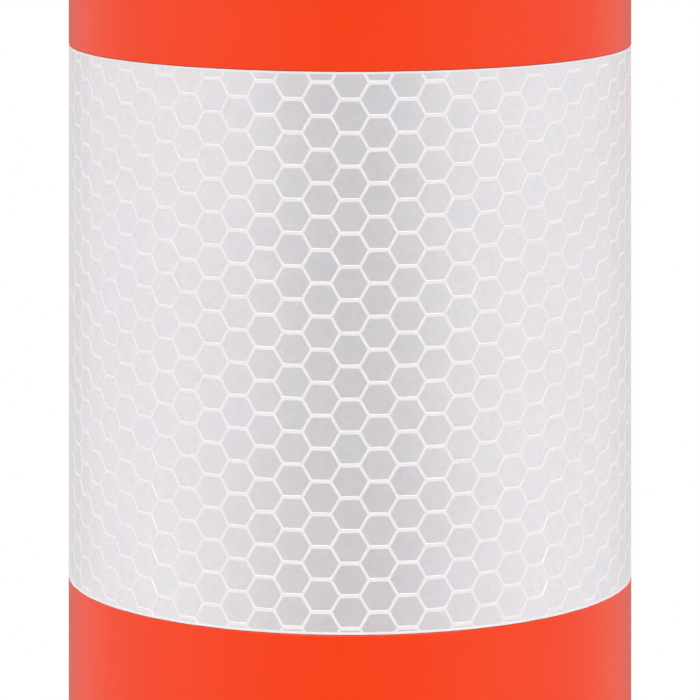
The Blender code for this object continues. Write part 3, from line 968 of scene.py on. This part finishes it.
def make_spring():
    """One wire in two lengths, split between the sockets."""
    line = wire_line()
    low_z, high_z = lower_socket_high.z, upper_socket_low.z
    middle_z = (low_z + high_z) / 2
    at = next(i for i, p in enumerate(line) if p.z > middle_z)
    step = line[1] - line[0]
    tail = line[-1] - line[-2]
    lower = line[: at + 1]
    upper = line[at:]
    lower_mesh = wire_mesh("spring_wire_lower", lower, line[0] - step, line[at + 1])
    upper_mesh = wire_mesh("spring_wire_upper", upper, line[at - 1], line[-1] + tail)
    coat = MATERIALS["spring_steel"]
    lower_wire = add_object("spring_wire_lower", lower_mesh, coat)
    upper_wire = add_object("spring_wire_upper", upper_mesh, coat)
    for wire in (lower_wire, upper_wire):
        shade(wire, 50)
    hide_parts("spring_lower_coils")
    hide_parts("spring_mid_coils", "spring_upper_coils")
    bend_wire(lower_wire)
    bend_wire(upper_wire)


def ripple_weld(mesh, radius, z):
    """Presses the overlapping ripples of a weld bead into the fillet at a ring."""
    for vert in mesh.vertices:
        r = vert.co.to_2d().length
        near = max(0.0, 1.0 - math.hypot(r - radius, vert.co.z - z) / WELD_REACH)
        if near > 0:
            angle = math.atan2(vert.co.y, vert.co.x)
            wave = abs(math.sin(angle * WELD_RIPPLES / 2))
            swell = 1 + WELD_SWELL * near * wave / r
            vert.co.x *= swell
            vert.co.y *= swell


def cup_section(rim, floor, toe):
    """A cup from its core's drain, over its rim, to its weld; it may open up or down."""
    up = math.copysign(1.0, rim - floor)
    return [
        (DRAIN_R, floor + up * CORE_DEPTH, 0.8 * MM),
        (CORE_R, floor + up * CORE_DEPTH, 2.0 * MM),
        (CORE_R, floor, 0.8 * MM),
        (CUP_BORE_R, floor, 0.8 * MM),
        (CUP_BORE_R, rim, 1.2 * MM),
        (CUP_R, rim, 1.2 * MM),
        (CUP_R, floor + up * WELD_R, 0.5 * MM),
        (CUP_R + WELD_WAIST, floor + up * WELD_WAIST, 1.5 * MM),
        (CUP_R + WELD_R, floor, toe),
    ]


def make_lower_socket():
    """The cup welded on its bolted flange, with a core inside the coil."""
    foot, rim = lower_socket_low.z, lower_socket_high.z
    floor = foot + FLANGE_T
    flange_r = lower_socket_high.x
    outline = cup_section(rim, floor, 0.5 * MM)
    outline += [(flange_r, floor, 1.0 * MM), (flange_r, foot, 0.6 * MM), (DRAIN_R, foot, 0.4 * MM)]
    mesh = lathe("lower_socket_cup", rounded(outline), SOCKET_SEGMENTS)
    ripple_weld(mesh, CUP_R + WELD_R / 3, floor + WELD_R / 3)
    socket = add_object("lower_socket_cup", mesh, MATERIALS["galvanised_steel"])
    tool = prism("drill", 32, M8_HOLE_R, foot - MM, floor + MM)
    places = [foot_place(n) for n in numbered("socket_bolt")]
    combine(socket, join_copies("drills", tool, places))
    drill_radially(socket, numbered("lower_set_screw"), M8_R + SET_SCREW_FIT)
    shade(socket)
    settle_piece(socket, "lower_spring_socket")


def make_upper_socket():
    """The same cup upside down, with the flange and spigot that carry the tube."""
    rim, top = upper_socket_low.z, upper_socket_high.z
    floor = rim + CUP_DEPTH
    flange_top = floor + FLANGE_T
    flange_r = upper_socket_high.x
    spigot_top_r = tube_r(top) - TUBE_WALL - PLUG_FIT
    spigot_foot_r = tube_r(flange_top) - TUBE_WALL - PLUG_FIT
    outline = [
        (spigot_top_r, top, 1.0 * MM),
        (spigot_foot_r, flange_top, 0.2 * MM),
        (flange_r, flange_top, 0.8 * MM),
        (flange_r, floor + FLANGE_T / 3, 0.8 * MM),
        *reversed(cup_section(rim, floor, 0.8 * MM)),
        (DRAIN_R, flange_top, 0.8 * MM),
        (spigot_foot_r - SPIGOT_WALL, flange_top, 1.0 * MM),
        (spigot_top_r - SPIGOT_WALL, top, 1.0 * MM),
    ]
    mesh = lathe("upper_socket_cup", rounded(outline), SOCKET_SEGMENTS)
    ripple_weld(mesh, CUP_R + WELD_R / 3, floor - WELD_R / 3)
    socket = add_object("upper_socket_cup", mesh, MATERIALS["galvanised_steel"])
    drill_radially(socket, numbered("upper_set_screw"), M8_R + SET_SCREW_FIT)
    drill_radially(socket, numbered("tube_screw"), SPIGOT_HOLE_R)
    shade(socket)
    settle_piece(socket, "upper_spring_socket")


def set_screw_mesh(length):
    """A threaded stud along +Z with a hexagon socket in its outer end."""
    outline = [(0.0, length), (M8_R - M8_THREAD_DEPTH, length)]
    outline += thread_outline(M8_R, length - 0.6 * MM, 0.8 * MM)
    outline += [(M8_TIP_R, 0.0), (0.0, 0.0)]
    key = prism("key", 6, M8_KEY_R, length - M8_KEY_DEPTH, length + MM)
    return carved(lathe("stud", outline, 48, closed=False), key)


# Base and its fasteners


def base_outline():
    """One side of the base's section, with low ridges on its slope."""
    slope = (base_high.z - BASE_SHOULDER_Z) / (BASE_SHOULDER_R - BASE_TOP_R)
    outline = [(BASE_DRAIN_R, base_high.z, 0.8 * MM), (BASE_TOP_R, base_high.z, 4.0 * MM)]
    ridge = ((-RIDGE_FOOT, 0.0), (-RIDGE_TOP, RIDGE_LIFT), (RIDGE_TOP, RIDGE_LIFT), (RIDGE_FOOT, 0.0))
    for radius in RIDGE_RADII:
        for offset, lift in ridge:
            r = radius + offset
            z = base_high.z - slope * (r - BASE_TOP_R) + lift
            outline.append((r, z, 0.4 * MM))
    outline += [
        (BASE_SHOULDER_R, BASE_SHOULDER_Z, 3.0 * MM),
        (base_high.x, BASE_RIM_Z, 3.0 * MM),
        (base_high.x, 0.0, 1.5 * MM),
        (BASE_DRAIN_R, 0.0, 0.8 * MM),
    ]
    return rounded(outline)


def make_base():
    """The rubber disc, with its anchor seats, bolt holes and nut pockets."""
    mesh = lathe("base_disc", base_outline(), BASE_SEGMENTS)
    base = add_object("base_disc", mesh, MATERIALS["base_rubber"])
    anchors = [foot_place(n) for n in numbered("anchor_bush")]
    bolts = [foot_place(n) for n in numbered("socket_bolt")]
    top = base_high.z + MM
    seat = [
        (0.0, top, 0.0),
        (COUNTERBORE_R + COUNTERBORE_FLARE, top, 0.0),
        (COUNTERBORE_R, BUSH_TOP_Z + COUNTERBORE_STRAIGHT_H, 4.0 * MM),
        (COUNTERBORE_R, BUSH_TOP_Z, 1.0 * MM),
        (BUSH_SEAT_R, BUSH_TOP_Z, 0.0),
        (BUSH_SEAT_R, -MM, 0.0),
        (0.0, -MM, 0.0),
    ]
    seat_mesh = lathe("seat", rounded(seat, closed=False), 64, closed=False)
    combine(base, join_copies("seats", seat_mesh, anchors))
    hole = prism("hole", 32, M8_HOLE_R, -MM, top)
    combine(base, join_copies("holes", hole, bolts))
    pocket = prism("pocket", 6, NUT_POCKET_R, -MM, NUT_POCKET_DEPTH, math.pi / 6)
    combine(base, join_copies("pockets", pocket, bolts))
    shade(base)
    settle_piece(base, "base_plate")


def make_bushes():
    """The steel sleeves in the anchor holes."""
    for node in numbered("anchor_bush"):
        low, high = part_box(node)
        outline = [
            (BUSH_R, high.z, 0.5 * MM),
            (BUSH_R, low.z, 0.5 * MM),
            (BUSH_BORE_R, low.z, 0.6 * MM),
            (BUSH_BORE_R, high.z, 0.6 * MM),
        ]
        mesh = lathe(node + "_sleeve", rounded(outline), 64)
        mesh.transform(foot_place(node))
        bush = add_object(node + "_sleeve", mesh, MATERIALS["zinc_plated_steel"])
        shade(bush)
        settle_piece(bush, node)


def hex_body(low, high, chamfer_foot):
    """A hexagon prism whose corners are turned off at 30 degrees, down to a round face."""
    flat_r = M8_HEX_CORNER_R * math.cos(math.pi / 6) * M8_HEX_FACE
    outer_r = M8_HEX_CORNER_R * 1.05
    drop = (outer_r - flat_r) * math.tan(math.radians(30))
    outline = [(0.0, high), (flat_r, high), (outer_r, high - drop)]
    if chamfer_foot:
        outline += [(outer_r, low + drop), (flat_r, low)]
    else:
        outline.append((outer_r, low))
    outline.append((0.0, low))
    hexagon_bar = prism("hexagon", 6, M8_HEX_CORNER_R, low, high, math.pi / 6)
    return carved(hexagon_bar, lathe("turning", outline, 96, closed=False), "INTERSECT")


def bolt_mesh(low, high):
    """A hex bolt along +Z, with a washer face and a thread at its lower end."""
    under = high - M8_HEAD_H
    threaded = low + M8_THREADED
    shank = [(0.0, under + MM), (M8_COLLAR_R, under + MM), (M8_COLLAR_R, under), (M8_R, under)]
    shank += [(M8_R, threaded)] + thread_outline(M8_R, threaded - 0.4 * MM, low + MM)
    shank += [(M8_TIP_R, low), (0.0, low)]
    head = hex_body(under + 0.4 * MM, high, False)
    return carved(head, lathe("shank", shank, 48, closed=False), "UNION")


def nut_mesh(low, high):
    """A hex nut round a plain bore."""
    bore = prism("bore", 48, M8_R + NUT_FIT, low - MM, high + MM)
    return carved(hex_body(low, high, True), bore)


def washer_mesh(low, high):
    """A flat washer with softened edges."""
    outline = [
        (M8_WASHER_R, high, 0.4 * MM),
        (M8_WASHER_R, low, 0.15 * MM),
        (M8_HOLE_R, low, 0.15 * MM),
        (M8_HOLE_R, high, 0.25 * MM),
    ]
    return lathe("washer", rounded(outline), 64)


def make_socket_fasteners():
    """Bolts, washers and nuts, turned at random but for the nuts, which their pockets hold."""
    dice = random.Random(3)
    makers = {"socket_bolt": bolt_mesh, "socket_washer": washer_mesh, "socket_nut": nut_mesh}
    for stem, make_mesh in makers.items():
        low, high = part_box(stem + "_1")
        mesh = make_mesh(low.z, high.z)
        for node in numbered(stem):
            copy = mesh.copy()
            free_turn = 0.0 if stem == "socket_nut" else dice.uniform(0, math.pi)
            copy.transform(foot_place(node) @ Matrix.Rotation(free_turn, 4, "Z"))
            piece = add_object(node + "_plated", copy, MATERIALS["zinc_plated_steel"])
            shade(piece, 28)
            settle_piece(piece, node)


# Stage


def softbox(name, place, target, width, height, radiance):
    """A rectangular lamp that shows in reflections but not to the camera."""
    lamp = bpy.data.lights.new(name, "AREA")
    lamp.shape = "RECTANGLE"
    lamp.size = width
    lamp.size_y = height
    lamp.energy = radiance * math.pi * width * height
    obj = add_object(name, lamp)
    obj.location = place
    aim = Vector(target) - Vector(place)
    obj.rotation_euler = aim.to_track_quat("-Z", "Z").to_euler()
    obj.visible_camera = False


def make_lights():
    """Two small lamps in front that put glints on the honeycomb's edges."""
    height = (first_low.z + first_high.z) / 2
    x = GLINT_REACH * math.sin(GLINT_AZIMUTH)
    y = -GLINT_REACH * math.cos(GLINT_AZIMUTH)
    for side in (-1, 1):
        place = (side * x, y, height + GLINT_REACH * math.tan(GLINT_RISE))
        softbox("glint_lamp", place, (0, 0, height), GLINT_WIDTH, GLINT_HEIGHT, GLINT_RADIANCE)


def make_world():
    """Studio light: dark behind the camera, bright at both sides and above, white in the view."""
    world = bpy.data.worlds.new("studio")
    bpy.context.scene.world = world
    world.use_nodes = True
    n = Nodes(world.node_tree)
    n.tree.nodes.clear()
    split = n.add("ShaderNodeSeparateXYZ")
    n.link(n.add("ShaderNodeTexCoord").outputs["Generated"], split.inputs["Vector"])
    forward = n.math("MULTIPLY", split.outputs["Y"], -1.0)
    around = n.math("ABSOLUTE", n.math("ARCTAN2", split.outputs["X"], forward), 0.0)
    azimuth = n.math("DEGREES", around, 0.0)
    elevation = n.math("DEGREES", n.math("ARCSINE", split.outputs["Z"], 0.0), 0.0)
    sides = n.span(azimuth, *FRONT_TO_SIDE, LIGHT_FRONT, LIGHT_SIDE, True)
    back = n.span(azimuth, *SIDE_TO_BACK, 0.0, LIGHT_BACK - LIGHT_SIDE, True)
    level = n.math("ADD", sides, back)
    foot = n.span(elevation, *BOX_FOOT_ELEVATION, 0, 1, True)
    overhead = n.math("MULTIPLY", foot, n.span(elevation, *BOX_TOP_ELEVATION, 1, 0))
    front_box = n.math("MULTIPLY", overhead, n.span(azimuth, *FRONT_BOX_END, 1, 0))
    back_box = n.math("MULTIPLY", overhead, n.span(azimuth, *BACK_BOX_START, 0, 1, True))
    level = n.math("ADD", level, n.math("MULTIPLY", front_box, LIGHT_FRONT_BOX))
    level = n.math("ADD", level, n.math("MULTIPLY", back_box, LIGHT_BACK_BOX))
    room, white = n.add("ShaderNodeBackground"), n.add("ShaderNodeBackground")
    for background in (room, white):
        background.inputs["Color"].default_value = (1.0, 1.0, 1.0, 1.0)
    n.link(level, room.inputs["Strength"])
    choose = n.add("ShaderNodeMixShader")
    n.link(n.add("ShaderNodeLightPath").outputs["Is Camera Ray"], choose.inputs["Fac"])
    n.link(room.outputs["Background"], choose.inputs[1])
    n.link(white.outputs["Background"], choose.inputs[2])
    n.link(choose.outputs["Shader"], n.add("ShaderNodeOutputWorld").inputs["Surface"])


def make_floor():
    """A pale floor round the base that fades into white, and is clear from below."""
    mesh = lathe("floor", [(base_high.x - 2 * MM, 0.0), (FLOOR_R, 0.0)], 96, closed=False)
    m = Surface("pale_floor")
    m.set(Base_Color=(0.84, 0.84, 0.84), Roughness=0.6)
    white, clear = m.add("ShaderNodeEmission"), m.add("ShaderNodeBsdfTransparent")
    path, side = m.add("ShaderNodeLightPath"), m.add("ShaderNodeNewGeometry")
    length = m.add("ShaderNodeVectorMath", operation="LENGTH")
    m.link(m.position(), length.inputs[0])
    away = m.span(length.outputs["Value"], *FLOOR_FADE, 0, 1, True)
    # Each row mixes two shaders by a factor; None is the row above.
    shaders = (
        (path.outputs["Is Camera Ray"], clear.outputs["BSDF"], white.outputs["Emission"]),
        (away, m.shader.outputs["BSDF"], None),
        (side.outputs["Backfacing"], None, clear.outputs["BSDF"]),
    )
    last = None
    for factor, first, second in shaders:
        mix = m.add("ShaderNodeMixShader")
        m.link(factor, mix.inputs["Fac"])
        m.link(first or last, mix.inputs[1])
        m.link(second or last, mix.inputs[2])
        last = mix.outputs["Shader"]
    m.link(last, m.output.inputs["Surface"])
    floor = add_object("floor", mesh, m.material)


def make_camera():
    """The view of the upper band, from above it and tilted down."""
    radius = tube_r(first_high.z)
    data = bpy.data.cameras.new("camera")
    data.sensor_width = VIEW_SENSOR_MM
    data.lens = VIEW_LENS_MM
    data.clip_start = 0.01
    camera = add_object("camera", data)
    height = first_high.z + VIEW_RISE_IN_RADII * radius
    camera.location = (0.0, -VIEW_DISTANCE_IN_RADII * radius, height)
    camera.rotation_euler = (math.radians(90 - VIEW_PITCH_DEG), 0.0, 0.0)
    bpy.context.scene.camera = camera


make_camera()
make_world()
make_lights()
make_floor()
bpy.context.scene.view_settings.view_transform = "Standard"

make_base()
make_bushes()
make_lower_socket()
make_socket_fasteners()
make_radial_screws("lower_set_screw", set_screw_mesh, "_stud", degrees=25, seed=20)
make_spring()
make_upper_socket()
make_radial_screws("upper_set_screw", set_screw_mesh, "_stud", degrees=25, seed=20)
make_tube()
for order, band in enumerate(BANDS):
    make_band(band, order)
make_cap()
make_radial_screws("tube_screw", pan_screw_mesh, "_head", degrees=32, seed=10)
make_radial_screws("cap_screw", pan_screw_mesh, "_head", degrees=32, seed=9)
